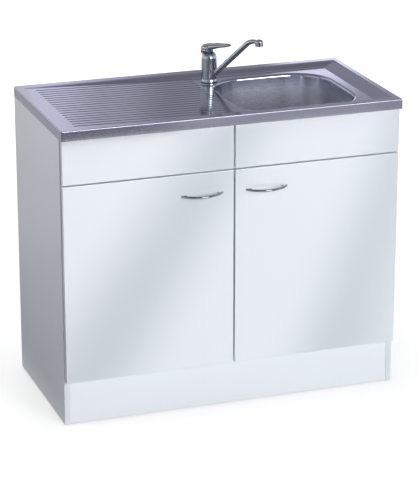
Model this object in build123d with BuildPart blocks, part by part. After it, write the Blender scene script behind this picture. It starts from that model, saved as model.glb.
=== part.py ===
from build123d import *
import os
from math import atan, cos, degrees, radians, sin, sqrt, tan

os.makedirs("parts", exist_ok=True)

# Kitchen sink unit: a two-door cabinet under a pressed steel sink top with a mixer tap.
# Millimetres. X runs left to right, Y from front to back, Z up from the floor.
# The origin lies on the floor under the middle of the whole unit.

# Sink top: one pressed sheet with a skirt all round and a folded hem
sink_width = 1000.0
sink_depth = 500.0
rim_height = 870.0
skirt_height = 29.0
sheet = 1.0
hem_width = 14.0
skirt_round = 2.5
rim_left = 22.0
rim_right = 16.0
rim_front = 27.0
rim_back = 26.0
pan_drop = 12.0
edge_step = 2.0
front_wall_run = 5.0
back_wall_run = 29.0
back_wall_sag = 1.2
apron_run = 46.0
pan_corner = 11.0
corner_reach = 3.0
headroom = 30.0

# Bowl
bowl_width = 373.0
bowl_left_gap = 1.0
bowl_right_gap = 24.0
bowl_front_gap = 5.5
bowl_back_gap = 25.5
bowl_bulge = 7.0
bowl_corner = 106.0
bowl_depth = 150.0
bowl_draft = 5.0
bowl_floor_radius = 45.0
bowl_roll = 8.0

# Drainer grooves
groove_count = 18
groove_pitch = 22.8
groove_width = 8.0
groove_depth = 1.8
groove_from_front = 51.0
groove_from_left = 50.0
groove_end_gap = 18.0

# Boards of the cabinet
board = 16.0
side_inset = 1.0
glide_height = 3.0
door_setback = 12.0
door_gap = 2.0
front_reveal = 3.5
front_gap = 5.0
row_gap = 4.0
door_bottom_gap = 4.0
front_top_gap = 3.0
false_front_height = 125.0
edge_round = 1.0
plinth_height = 130.0
plinth_setback = 2.0
front_rail_height = 125.0
front_rail_drop = 26.0
back_rail_height = 100.0
back_panel_thickness = 3.0
back_panel_inset = 11.0
groove_bite = 7.0
panel_play = 0.5
service_left_reach = 247.5
service_right_reach = 212.5
service_below = 248.0
service_above = 92.0
wall_hole_spacing = 700.0
wall_hole_radius = 4.0

# How far the shapes of one piece run into each other
weld = 0.1

# Fasteners and small fittings
screw_radius = 1.7
screw_head_radius = 3.5
screw_head = 2.0
screw_length = 13.0
screw_play = 0.05
cross_width = 0.8
cross_span = 4.0
cross_depth = 1.0
machine_screw_radius = 2.0
machine_head_radius = 4.0
dowel_radius = 4.0
dowel_length = 30.0
dowel_bite = 10.0
cam_radius = 7.5
cam_depth = 12.0
cam_distance = 24.0
cam_bolt_radius = 3.0
cam_bolt_bite = 11.0
glide_radius = 8.0
glide_pin_radius = 1.5
glide_pin_length = 14.0
glide_margin = 24.0
joint_margin = 40.0
rail_margin = 20.0
hole_slack = 0.5
groove_play = 0.2
spacer_radius = 9.0
front_screw_bite = 10.0
front_screw_spread = 170.0
bracket_leg = 22.0
bracket_width = 24.0
bracket_thickness = 1.5
bracket_screw_reach = 14.7
clip_width = 20.0
clip_leg = 26.0
clip_reach = 11.0
clip_margin = 70.0
batten_width = 40.0
batten_thickness = 16.0
batten_margin = 36.0
batten_places = (170.0, 370.0)

# Handles
handle_projection = 30.0
handle_chord = 118.0
handle_width = 3.5
handle_overrun = 3.5
handle_thickness = 3.0
handle_post_radius = 4.0
handle_hole_spacing = 96.0
handle_drop = 62.0
handle_from_inner_edge = 93.0
handle_thread_depth = 8.0

# Hinges
hinge_margin = 90.0
cup_radius = 17.5
cup_play = 0.1
cup_depth = 12.0
cup_wall = 1.2
cup_from_edge = 21.5
cup_flange = 1.0
cup_flange_width = 22.0
cup_flange_length = 58.0
cup_screw_spacing = 48.0
cup_screw_offset = 7.0
plate_from_front = 20.0
plate_length = 34.0
plate_height = 6.0
plate_width = 16.0
wing_span = 44.0
wing_width = 12.0
wing_height = 2.0
wing_screw_spacing = 32.0
arm_height = 6.0
arm_width = 12.0
arm_tail = 56.0
nose_gap = 0.4
nose_height = 10.0
nose_length = 8.0
nose_slope = 8.0
bumper_radius = 4.0
bumper_height = 1.7
bumper_from_edge = 20.0

# Waste and trap
waste_recess_radius = 60.0
waste_recess = 2.0
waste_hole_radius = 46.0
flange_radius = 56.0
flange_thickness = 1.5
strainer_radius = 43.0
strainer_depth = 36.0
strainer_wall = 1.0
strainer_hole_count = 12
strainer_hole_radius = 3.5
strainer_hole_circle = 22.0
gasket_thickness = 3.0
waste_rim_radius = 55.0
waste_rim = 5.0
waste_bowl_radius = 49.0
waste_bowl_depth = 46.0
waste_wall = 2.5
waste_bridge_width = 9.0
waste_bridge_height = 9.0
waste_screw_radius = 3.0
waste_screw_head_radius = 5.0
waste_screw_length = 18.0
thread_radius = 23.9
spigot_length = 26.0
tube_radius = 20.0
tube_wall = 1.8
tube_play = 0.05
inlet_tube_length = 66.0
inlet_overlap = 12.0
nut_wall = 5.0
nut_height = 20.0
nut_lip = 4.0
nut_flat_count = 8
bottle_radius = 34.0
bottle_height = 66.0
bottle_wall = 3.0
collar_height = 22.0
bottle_cup_wall = 2.5
bottle_cup_depth = 68.0
bottle_thread = 14.0
dip_radius = 16.0
dip_wall = 2.0
dip_depth = 84.0
outlet_drop = 28.0
outlet_stub = 24.0
outlet_overlap = 14.0
outlet_short_of_back = 3.0
outlet_free_end = 45.0
outlet_mark_width = 1.2
outlet_mark_depth = 0.4
basket_radius = 40.0
basket_gap = 0.3
basket_depth = 28.0
basket_wall = 1.5
basket_slot_count = 16
basket_slot_width = 3.0
basket_slot_height = 14.0
basket_slot_reach = 6.0
knob_radius = 9.0
knob_height = 8.0
stem_radius = 4.0
stem_height = 24.0

# Overflow
overflow_drop = 40.0
overflow_radius = 14.0
rosette_radius = 20.0
rosette_thickness = 1.2
rosette_stand = 0.2
rosette_hole_count = 8
rosette_hole_radius = 2.4
rosette_hole_circle = 11.0
elbow_flange = 3.0
elbow_radius = 14.0
elbow_length = 30.0
elbow_bore = 11.0
elbow_post_radius = 4.0
elbow_drop = 36.0
socket_radius = 12.5
overflow_pipe_radius = 10.0
overflow_pipe_wall = 1.5
overflow_overlap = 12.0
overflow_bend = 24.0
overflow_screw_length = 17.0
port_drop = 22.0
port_length = 18.0

# Mixer tap, with heights above the flat pan and reaches from the tap's own axis
tap_from_bowl_edge = 22.0
tap_from_back_wall = 40.0
tap_hole_radius = 17.5
tap_turn = 60.0
tap_gasket_radius = 23.0
tap_gasket_thickness = 1.5
tap_base_radius = 25.0
tap_base_top = 10.0
tap_collar_radius = 16.5
post_radius = 14.5
post_groove_radius = 12.5
post_groove_height = 10.0
inlet_radius = 4.5
inlet_depth = 12.0
inlet_spacing = 14.0
waterway_radius = 3.0
running_play = 0.05
turning_gap = 0.3
spout_hub_radius = 23.4
spout_hub_top = 31.7
tap_body_radius = 23.3
dome_radius = 22.6
dome_wall = 2.6
dome_mouth_radius = 11.5
tap_body_floor = 5.0
lever_pivot = 71.0
cartridge_radius = 17.5
cartridge_top = 76.0
carrier_radius = 9.0
carrier_bottom = 60.0
carrier_top = 75.0
carrier_slot_length = 11.0
carrier_slot_floor = 64.5
pin_width = 6.0
pin_top = 104.0
pin_bottom = 66.0
hood_play = 0.5
hood_radius = 24.3
hood_skirt = 6.0
hood_top = 113.0
hood_slope = 10.0
hood_round = 9.0
hood_boss_radius = 12.0
hood_cut_reach = 26.0
hood_cut_height = 103.0
quarter_turn = 90.0
lever_tip = 81.0
lever_edge_share = 0.45
# Reach, width, underside and top of the lever where its section changes
lever_stations = (
    (4.0, 38.0, 100.0, 111.0),
    (28.0, 34.0, 103.0, 118.0),
    (52.0, 24.0, 110.5, 121.0),
    (75.0, 15.0, 116.0, 123.0),
    (lever_tip, 8.0, 118.7, 121.3),
)
plug_radius = 3.2
plug_length = 3.0
plug_height = 97.0
spout_start = (13.0, 18.3)
spout_height = 147.0
spout_corner = (155.4, spout_height)
spout_reach = 188.0
spout_bend = 50.0
spout_tube_radius = 8.1
spout_neck_radius = 6.0
spout_bore_radius = 4.8
head_radius = 11.5
head_below_tube = 7.0
head_height = 15.0
head_bottom = spout_height - head_below_tube
head_round = 7.0
head_bore_radius = 9.0
head_bore_depth = 8.0
aerator_radius = 11.9
aerator_height = 3.5
aerator_bottom = head_bottom - aerator_height
aerator_bore_radius = 8.0
aerator_plate = 1.5
aerator_hole_circle = 5.0
aerator_hole_radius = 1.1
aerator_hole_count = 8
stud_radius = 4.0
stud_bite = 9.0
stud_length = 50.0
stud_offset = 10.5
clamp_radius = 23.0
clamp_thickness = 3.0
nut_across = 13.0
stud_nut_height = 8.0
stud_nut_flat_count = 6

# Places worked out from the sizes above
handle_reach = handle_projection - door_setback
front = (handle_reach - sink_depth) / 2
back = front + sink_depth
left = -sink_width / 2
right = sink_width / 2
skirt_bottom = rim_height - skirt_height
pan_level = rim_height - pan_drop
pan_left = left + rim_left
pan_right = right - rim_right
pan_front = front + rim_front
pan_back = back - rim_back
pan_roof = rim_height + headroom
apron_foot = pan_right - apron_run
bowl_right = apron_foot - bowl_right_gap
bowl_left = bowl_right - bowl_width
bowl_front = pan_front + front_wall_run + bowl_front_gap
bowl_back = pan_back - back_wall_run - bowl_back_gap
bowl_length = bowl_back - bowl_front
bowl_x = (bowl_left + bowl_right) / 2
bowl_y = (bowl_front + bowl_back) / 2
bowl_floor = pan_level - bowl_depth
drainer_foot = bowl_left - bowl_left_gap
drainer_slope = atan((pan_drop - edge_step) / (drainer_foot - pan_left))
tap_x = bowl_left + tap_from_bowl_edge
tap_y = pan_back - back_wall_run - tap_from_back_wall
tap_angle = radians(tap_turn)

carcass_front = front + door_setback + board + door_gap
carcass_back = back - side_inset
side_outer = sink_width / 2 - side_inset
side_inner = side_outer - board
door_face = front + door_setback
door_back = door_face + board
door_bottom = plinth_height + door_bottom_gap
false_front_top = skirt_bottom - front_top_gap
false_front_bottom = false_front_top - false_front_height
door_top = false_front_bottom - row_gap
door_outer = sink_width / 2 - front_reveal
door_inner = front_gap / 2
door_mid_x = (door_outer + door_inner) / 2
rail_top = skirt_bottom - front_rail_drop
rail_bottom = rail_top - front_rail_height
back_rail_bottom = skirt_bottom - back_rail_height
floor_panel_top = plinth_height + board

# Levels of the waste and its trap, from the bowl's floor down
seat_level = bowl_floor - waste_recess
waste_top = seat_level - sheet - gasket_thickness
waste_bottom = waste_top - waste_bowl_depth
spigot_bottom = waste_bottom - spigot_length
tube_bottom = spigot_bottom + inlet_overlap - inlet_tube_length
outlet_z = tube_bottom - outlet_drop

SIDES = ((-1, "left"), (1, "right"))


def save(piece, name):
    """Label a finished piece and write it as its own file."""
    piece.part.label = name
    export_step(piece.part, f"parts/{name}.step")


def block(x0, x1, y0, y1, z0, z1, mode=Mode.ADD):
    """A box between two corners."""
    with Locations(((x0 + x1) / 2, (y0 + y1) / 2, (z0 + z1) / 2)):
        Box(abs(x1 - x0), y1 - y0, z1 - z0, mode=mode)


def rod(place, direction, radius, length, mode=Mode.ADD):
    """A round rod or hole that starts at a place and runs in a direction."""
    with BuildSketch(Plane(origin=place, z_dir=direction)) as section:
        Circle(radius)
    extrude(section.sketch, amount=length, mode=mode)


def ring(x, y, z, outer, inner, height, mode=Mode.ADD):
    """A flat ring that stands on a height."""
    with BuildSketch(Plane((x, y, z))) as section:
        Circle(outer)
        Circle(inner, mode=Mode.SUBTRACT)
    extrude(section.sketch, amount=height, mode=mode)


def screw(place, direction, length, radius=screw_radius, head_radius=screw_head_radius):
    """A pan-head cross-slot screw whose head stands back from a place that the shank enters."""
    seat = Plane(origin=place, z_dir=direction)
    with BuildPart(mode=Mode.PRIVATE) as one:
        with BuildSketch(seat.offset(-screw_head)):
            Circle(head_radius)
        extrude(amount=screw_head)
        fillet(one.edges().sort_by(Axis(place, direction))[0], screw_head / 2)
        with BuildSketch(seat):
            Circle(radius)
        extrude(amount=length)
        with BuildSketch(seat.offset(-screw_head)):
            Rectangle(cross_span, cross_width)
            Rectangle(cross_width, cross_span)
        extrude(amount=cross_depth, mode=Mode.SUBTRACT)
    add(one.part)


# ---------------------------------------------------------------- sink top

def pan_void(grow, roof):
    """The space over the pan, from its sheet up to a height, grown all round by the sheet."""
    rise = (pan_drop - edge_step) / apron_run
    middle = (pan_back - back_wall_run / 2, pan_level + pan_drop / 2)
    foot = (pan_back - back_wall_run, pan_level)
    upper = (middle[0] + back_wall_run / 4, middle[1] + pan_drop / 4 + back_wall_sag)
    lower = (middle[0] - back_wall_run / 4, middle[1] - pan_drop / 4 - back_wall_sag)
    with BuildPart() as void:
        with BuildSketch(Plane.XZ):
            with BuildLine():
                Polyline(
                    (pan_left - headroom, pan_roof),
                    (pan_left - headroom, rim_height - edge_step + headroom * tan(drainer_slope)),
                    (drainer_foot, pan_level),
                    (apron_foot, pan_level),
                    (pan_right + headroom, pan_level + (apron_run + headroom) * rise),
                    (pan_right + headroom, pan_roof),
                    close=True,
                )
            make_face()
            if grow:
                offset(amount=grow, kind=Kind.INTERSECTION)
        extrude(amount=sink_depth, both=True)
        with BuildSketch(Plane.YZ):
            with BuildLine():
                Polyline(
                    foot,
                    (pan_front + front_wall_run, pan_level),
                    (pan_front, rim_height),
                    (pan_front, pan_roof),
                    (pan_back, pan_roof),
                    (pan_back, rim_height),
                )
                ThreePointArc((pan_back, rim_height), upper, middle)
                ThreePointArc(middle, lower, foot)
            make_face()
            if grow:
                offset(amount=grow, kind=Kind.INTERSECTION)
        extrude(amount=sink_width, both=True, mode=Mode.INTERSECT)
        with BuildSketch(Plane.XY.offset(pan_level - pan_drop)):
            with Locations(((pan_left + pan_right) / 2, (pan_front + pan_back) / 2)):
                RectangleRounded(
                    pan_right - pan_left + 2 * grow,
                    pan_back - pan_front + 2 * (corner_reach + grow),
                    pan_corner + grow,
                )
        extrude(amount=roof - pan_level + pan_drop, mode=Mode.INTERSECT)
    return void.part


def groove_voids(grow):
    """A row of round-ended channels that lie in the sloping drainer, grown by the sheet."""
    section = (groove_width**2 / 4 + groove_depth**2) / (2 * groove_depth)
    start = left + groove_from_left + groove_width / 2
    length = drainer_foot - groove_end_gap - groove_width / 2 - start
    level = pan_level + (drainer_foot - start) * tan(drainer_slope) + section - groove_depth
    along = (cos(drainer_slope), 0, -sin(drainer_slope))
    axle = Plane((start, front + groove_from_front, level), x_dir=along, z_dir=(0, -1, 0))
    radius = section + grow
    with BuildPart() as groove:
        with BuildSketch(axle):
            with BuildLine():
                Line((-radius, 0), (length + radius, 0))
                RadiusArc((length + radius, 0), (length, radius), -radius)
                Line((length, radius), (0, radius))
                RadiusArc((0, radius), (-radius, 0), -radius)
            make_face()
        revolve(axis=Axis(axle.origin, axle.x_dir))
    with BuildPart() as row:
        with Locations(*[(0, index * groove_pitch, 0) for index in range(groove_count)]):
            add(groove.part)
    return row.part


def bowl_void(grow):
    """The bowl's space below the pan, without its rolled mouth, grown by the sheet."""
    inset = bowl_roll * tan(radians((90 - bowl_draft) / 2))
    x = bowl_width / 2 - inset + grow
    y = bowl_length / 2 - inset + grow
    corner_x = x - bowl_bulge
    corner_y = y - bowl_bulge
    with BuildPart() as void:
        with BuildSketch(Plane((bowl_x, bowl_y, pan_level))) as mouth:
            with BuildLine():
                ThreePointArc((-corner_x, -corner_y), (0, -y), (corner_x, -corner_y))
                ThreePointArc((corner_x, -corner_y), (x, 0), (corner_x, corner_y))
                ThreePointArc((corner_x, corner_y), (0, y), (-corner_x, corner_y))
                ThreePointArc((-corner_x, corner_y), (-x, 0), (-corner_x, -corner_y))
            make_face()
            fillet(mouth.vertices(), bowl_corner + grow)
        extrude(amount=-(bowl_depth + grow), taper=bowl_draft)
        fillet(void.faces().sort_by(Axis.Z)[0].edges(), bowl_floor_radius + grow)
        with BuildSketch(Plane((bowl_x, bowl_y, bowl_floor - grow))):
            Circle(waste_recess_radius + grow)
        extrude(amount=-waste_recess)
    return void.part


def mouth_edges(piece, level):
    """The edges of the bowl's mouth in a sheet's face at a level."""
    edges = piece.edges().filter_by_position(Axis.Z, level - weld, level + weld)
    reach_x = bowl_width / 2 - sheet
    reach_y = bowl_length / 2 - sheet
    near = edges.filter_by(lambda edge: abs(edge.center().X - bowl_x) < reach_x)
    return near.filter_by(lambda edge: abs(edge.center().Y - bowl_y) < reach_y)


# Where the overflow meets the bowl's left wall
overflow_z = pan_level - overflow_drop
wall_lean = radians(bowl_draft)
overflow_out = Vector(-cos(wall_lean), 0, -sin(wall_lean))
wall_inset = bowl_roll * tan(radians((90 - bowl_draft) / 2)) + overflow_drop * tan(wall_lean)
overflow_place = Vector(bowl_left + wall_inset, bowl_y, overflow_z)


def lean_rod(reach, radius, length, mode=Mode.ADD):
    """A rod square to the bowl's leaning wall, that starts a distance behind its inner face."""
    rod(overflow_place + overflow_out * reach, overflow_out, radius, length, mode)


with BuildPart() as sink_top:
    middle = (0, (front + back) / 2, (skirt_bottom + rim_height) / 2)
    with Locations(middle):
        Box(sink_width, sink_depth, skirt_height)
    upright = sink_top.edges().filter_by(Axis.Z)
    fillet(upright + sink_top.faces().sort_by(Axis.Z)[-1].edges(), skirt_round)
    with BuildPart(mode=Mode.PRIVATE) as inside:
        with Locations(middle):
            Box(sink_width - 2 * sheet, sink_depth - 2 * sheet, skirt_height - 2 * sheet)
        upright = inside.edges().filter_by(Axis.Z)
        fillet(upright + inside.faces().sort_by(Axis.Z)[-1].edges(), skirt_round - sheet)
    add(inside.part, mode=Mode.SUBTRACT)
    block(
        left + hem_width,
        right - hem_width,
        front + hem_width,
        back - hem_width,
        skirt_bottom - sheet,
        skirt_bottom + 2 * sheet,
        Mode.SUBTRACT,
    )
    add(pan_void(sheet, rim_height))
    add(groove_voids(sheet))
    add(bowl_void(sheet))
    fillet(mouth_edges(sink_top, pan_level - sheet), bowl_roll - sheet)
    add(pan_void(0, pan_roof), mode=Mode.SUBTRACT)
    add(groove_voids(0), mode=Mode.SUBTRACT)
    add(bowl_void(0), mode=Mode.SUBTRACT)
    fillet(mouth_edges(sink_top, pan_level), bowl_roll)
    rod((bowl_x, bowl_y, pan_level), (0, 0, -1), waste_hole_radius, bowl_depth + headroom, Mode.SUBTRACT)
    rod((tap_x, tap_y, rim_height), (0, 0, -1), tap_hole_radius, pan_drop + headroom, Mode.SUBTRACT)
    lean_rod(-sheet, overflow_radius, bowl_roll, Mode.SUBTRACT)
save(sink_top, "sink_top")


# ---------------------------------------------------------------- joints between the boards

floor_mid = plinth_height + board / 2
front_rail_y = carcass_front + board / 2
back_rail_y = carcass_back - board / 2
dowel_spots = (
    (carcass_front + joint_margin, floor_mid),
    (carcass_back - joint_margin, floor_mid),
    (front_rail_y, rail_bottom + rail_margin),
    (front_rail_y, rail_top - rail_margin),
    (back_rail_y, back_rail_bottom + rail_margin),
    (back_rail_y, skirt_bottom - rail_margin),
)
# Each cam sits in a board's hidden face and draws a bolt in the side panel
cam_spots = (
    ((carcass_front + 2 * joint_margin, floor_mid), (0, 0, 1)),
    ((carcass_back - 2 * joint_margin, floor_mid), (0, 0, 1)),
    ((front_rail_y, (rail_bottom + rail_top) / 2), (0, -1, 0)),
    ((back_rail_y, (back_rail_bottom + skirt_bottom) / 2), (0, 1, 0)),
)


def dowel_set(play):
    """Wood dowels across the joints of the side panels, or their holes."""
    slack = hole_slack if play else 0
    with BuildPart() as dowels:
        for side, _ in SIDES:
            for y, z in dowel_spots:
                start = (side * (side_inner + dowel_bite + slack), y, z)
                rod(start, (-side, 0, 0), dowel_radius + play, dowel_length + 2 * slack)
    return dowels.part


def cam_set(play):
    """Cams with their bolts, or their holes."""
    slack = hole_slack if play else 0
    with BuildPart() as cams:
        for side, _ in SIDES:
            for (y, z), inward in cam_spots:
                start = (side * (side_inner + cam_bolt_bite + slack), y, z)
                rod(start, (-side, 0, 0), cam_bolt_radius + play, cam_bolt_bite + cam_distance + slack)
                face = board / 2
                seat = (
                    side * (side_inner - cam_distance),
                    y - inward[1] * face,
                    z - inward[2] * face,
                )
                rod(seat, inward, cam_radius + play, cam_depth + slack)
    return cams.part


with BuildPart() as wood_dowels:
    add(dowel_set(0))
save(wood_dowels, "wood_dowels")

with BuildPart() as cam_fittings:
    add(cam_set(0))
save(cam_fittings, "cam_fittings")

joint_holes = dowel_set(screw_play) + cam_set(screw_play)

# ---------------------------------------------------------------- places of the board screws

hinge_heights = (door_bottom + hinge_margin, door_top - hinge_margin)
plate_y = carcass_front + plate_from_front + plate_length / 2
clip_ys = (carcass_front + clip_margin, carcass_back - clip_margin)
clip_top = skirt_bottom + sheet
clip_screw_z = clip_top - clip_leg / 2
plinth_front = carcass_front + plinth_setback
plinth_back = plinth_front + board
plinth_mid_z = (glide_height + plinth_height) / 2
board_screw_spots = []
for side, _ in SIDES:
    for height in hinge_heights:
        for shift in (-wing_screw_spacing / 2, wing_screw_spacing / 2):
            spot = (side * (side_inner - wing_height), plate_y, height + shift)
            board_screw_spots.append((spot, (side, 0, 0)))
    for y in clip_ys:
        spot = (side * (side_inner - bracket_thickness), y, clip_screw_z)
        board_screw_spots.append((spot, (side, 0, 0)))
    spot = (side * (side_inner - bracket_thickness), plinth_back + bracket_screw_reach, plinth_mid_z)
    board_screw_spots.append((spot, (side, 0, 0)))
    spot = (side * (side_inner - bracket_screw_reach), plinth_back + bracket_thickness, plinth_mid_z)
    board_screw_spots.append((spot, (0, -1, 0)))

with BuildPart() as board_screws:
    for spot, direction in board_screw_spots:
        screw(spot, direction, screw_length)
save(board_screws, "board_screws")

with BuildPart() as screw_holes:
    for spot, direction in board_screw_spots:
        rod(spot, direction, screw_radius + screw_play, screw_length + hole_slack)
board_screw_holes = screw_holes.part

# ---------------------------------------------------------------- cabinet boards

panel_front = carcass_back - back_panel_inset - back_panel_thickness
panel_rear = carcass_back - back_panel_inset
glide_ys = (carcass_front + glide_margin, carcass_back - glide_margin)
side_mid = (side_inner + side_outer) / 2

for side, name in SIDES:
    with BuildPart() as side_panel:
        block(side * side_inner, side * side_outer, carcass_front, carcass_back, glide_height, skirt_bottom)
        add(joint_holes, mode=Mode.SUBTRACT)
        add(board_screw_holes, mode=Mode.SUBTRACT)
        block(
            side * side_inner,
            side * (side_inner + groove_bite),
            panel_front - groove_play,
            panel_rear + groove_play,
            floor_panel_top,
            back_rail_bottom,
            Mode.SUBTRACT,
        )
        for y in glide_ys:
            spot = (side * side_mid, y, glide_height)
            hole = glide_pin_length + hole_slack
            rod(spot, (0, 0, 1), glide_pin_radius + screw_play, hole, Mode.SUBTRACT)
    save(side_panel, f"side_panel_{name}")

with BuildPart() as bottom_panel:
    block(-side_inner, side_inner, carcass_front, carcass_back, plinth_height, floor_panel_top)
    add(joint_holes, mode=Mode.SUBTRACT)
save(bottom_panel, "bottom_panel")

# The two false fronts are screwed on through the front rail, over flat spacers
front_screw_z = false_front_bottom + false_front_height / 2
front_screw_xs = [
    side * (door_mid_x + shift) for side, _ in SIDES for shift in (-front_screw_spread, front_screw_spread)
]
front_screw_seat = carcass_front + board
front_screw_length = board + door_gap + front_screw_bite

with BuildPart() as front_rail:
    block(-side_inner, side_inner, carcass_front, carcass_front + board, rail_bottom, rail_top)
    add(joint_holes, mode=Mode.SUBTRACT)
    for x in front_screw_xs:
        spot = (x, front_screw_seat, front_screw_z)
        rod(spot, (0, -1, 0), machine_screw_radius + screw_play, board, Mode.SUBTRACT)
save(front_rail, "front_rail")

with BuildPart() as front_spacers:
    for x in front_screw_xs:
        spot = (x, carcass_front, front_screw_z)
        rod(spot, (0, -1, 0), spacer_radius, door_gap)
        rod(spot, (0, -1, 0), machine_screw_radius + screw_play, door_gap, Mode.SUBTRACT)
save(front_spacers, "front_spacers")

with BuildPart() as false_front_screws:
    for x in front_screw_xs:
        spot = (x, front_screw_seat, front_screw_z)
        screw(spot, (0, -1, 0), front_screw_length, machine_screw_radius, machine_head_radius)
save(false_front_screws, "false_front_screws")

for side, name in SIDES:
    with BuildPart() as false_front:
        block(side * door_inner, side * door_outer, door_face, door_back, false_front_bottom, false_front_top)
        fillet(false_front.edges(), edge_round)
        for x in front_screw_xs:
            spot = (x, door_back, front_screw_z)
            depth = front_screw_bite + hole_slack
            rod(spot, (0, -1, 0), machine_screw_radius + screw_play, depth, Mode.SUBTRACT)
    save(false_front, f"false_front_{name}")

wall_hole_z = (back_rail_bottom + skirt_bottom) / 2

with BuildPart() as back_rail:
    block(-side_inner, side_inner, carcass_back - board, carcass_back, back_rail_bottom, skirt_bottom)
    add(joint_holes, mode=Mode.SUBTRACT)
    for x in (-wall_hole_spacing / 2, wall_hole_spacing / 2):
        rod((x, carcass_back, wall_hole_z), (0, -1, 0), wall_hole_radius, board, Mode.SUBTRACT)
save(back_rail, "back_rail")

with BuildPart() as back_panel:
    reach = side_inner + groove_bite - panel_play
    block(-reach, reach, panel_front, panel_rear, floor_panel_top, back_rail_bottom)
    block(
        bowl_x - service_left_reach,
        bowl_x + service_right_reach,
        panel_front,
        panel_rear,
        outlet_z - service_below,
        outlet_z + service_above,
        Mode.SUBTRACT,
    )
save(back_panel, "back_panel")

with BuildPart() as plinth_board:
    block(-side_inner, side_inner, plinth_front, plinth_back, glide_height, plinth_height)
    add(board_screw_holes, mode=Mode.SUBTRACT)
save(plinth_board, "plinth_board")

with BuildPart() as plinth_brackets:
    for side, _ in SIDES:
        low = plinth_mid_z - bracket_width / 2
        high = plinth_mid_z + bracket_width / 2
        near = side * side_inner
        block(near, near - side * bracket_thickness, plinth_back, plinth_back + bracket_leg, low, high)
        block(near, near - side * bracket_leg, plinth_back, plinth_back + bracket_thickness, low, high)
    add(board_screw_holes, mode=Mode.SUBTRACT)
save(plinth_brackets, "plinth_brackets")

with BuildPart() as floor_glides:
    for side, _ in SIDES:
        for y in glide_ys:
            rod((side * side_mid, y, 0), (0, 0, 1), glide_radius, glide_height)
            rod((side * side_mid, y, glide_height), (0, 0, 1), glide_pin_radius, glide_pin_length)
save(floor_glides, "floor_glides")

# ---------------------------------------------------------------- what holds the sink top

with BuildPart() as sink_clips:
    for side, _ in SIDES:
        inner = side * (side_inner - bracket_thickness)
        for y in clip_ys:
            near = y - clip_width / 2
            far = y + clip_width / 2
            top = clip_top + bracket_thickness
            block(inner, side * side_inner, near, far, clip_top - clip_leg, top)
            block(inner, side * (side_inner + clip_reach), near, far, clip_top, top)
    add(board_screw_holes, mode=Mode.SUBTRACT)
save(sink_clips, "sink_clips")

with BuildPart() as drainer_battens:
    for place in batten_places:
        inner_edge = left + place + batten_width / 2
        drainer_level = pan_level + (drainer_foot - inner_edge) * tan(drainer_slope)
        top = drainer_level - groove_depth / cos(drainer_slope) - sheet - screw_play
        block(
            inner_edge - batten_width,
            inner_edge,
            front + batten_margin,
            back - batten_margin - back_wall_run,
            top - batten_thickness,
            top,
        )
save(drainer_battens, "drainer_battens")

# ---------------------------------------------------------------- doors

cup_lengthwise = door_outer - cup_from_edge
cup_screw_x = cup_lengthwise - cup_screw_offset
handle_z = door_top - handle_drop
handle_sag = handle_projection - handle_thickness
handle_radius = ((handle_chord / 2) ** 2 + handle_sag**2) / (2 * handle_sag)
handle_centre = handle_radius - handle_sag
handle_post = sqrt(handle_radius**2 - (handle_hole_spacing / 2) ** 2) - handle_centre
handle_screw_length = board + handle_thread_depth - hole_slack
bumper_zs = (plinth_height + board - bumper_radius - panel_play, (rail_bottom + door_top) / 2)

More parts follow.
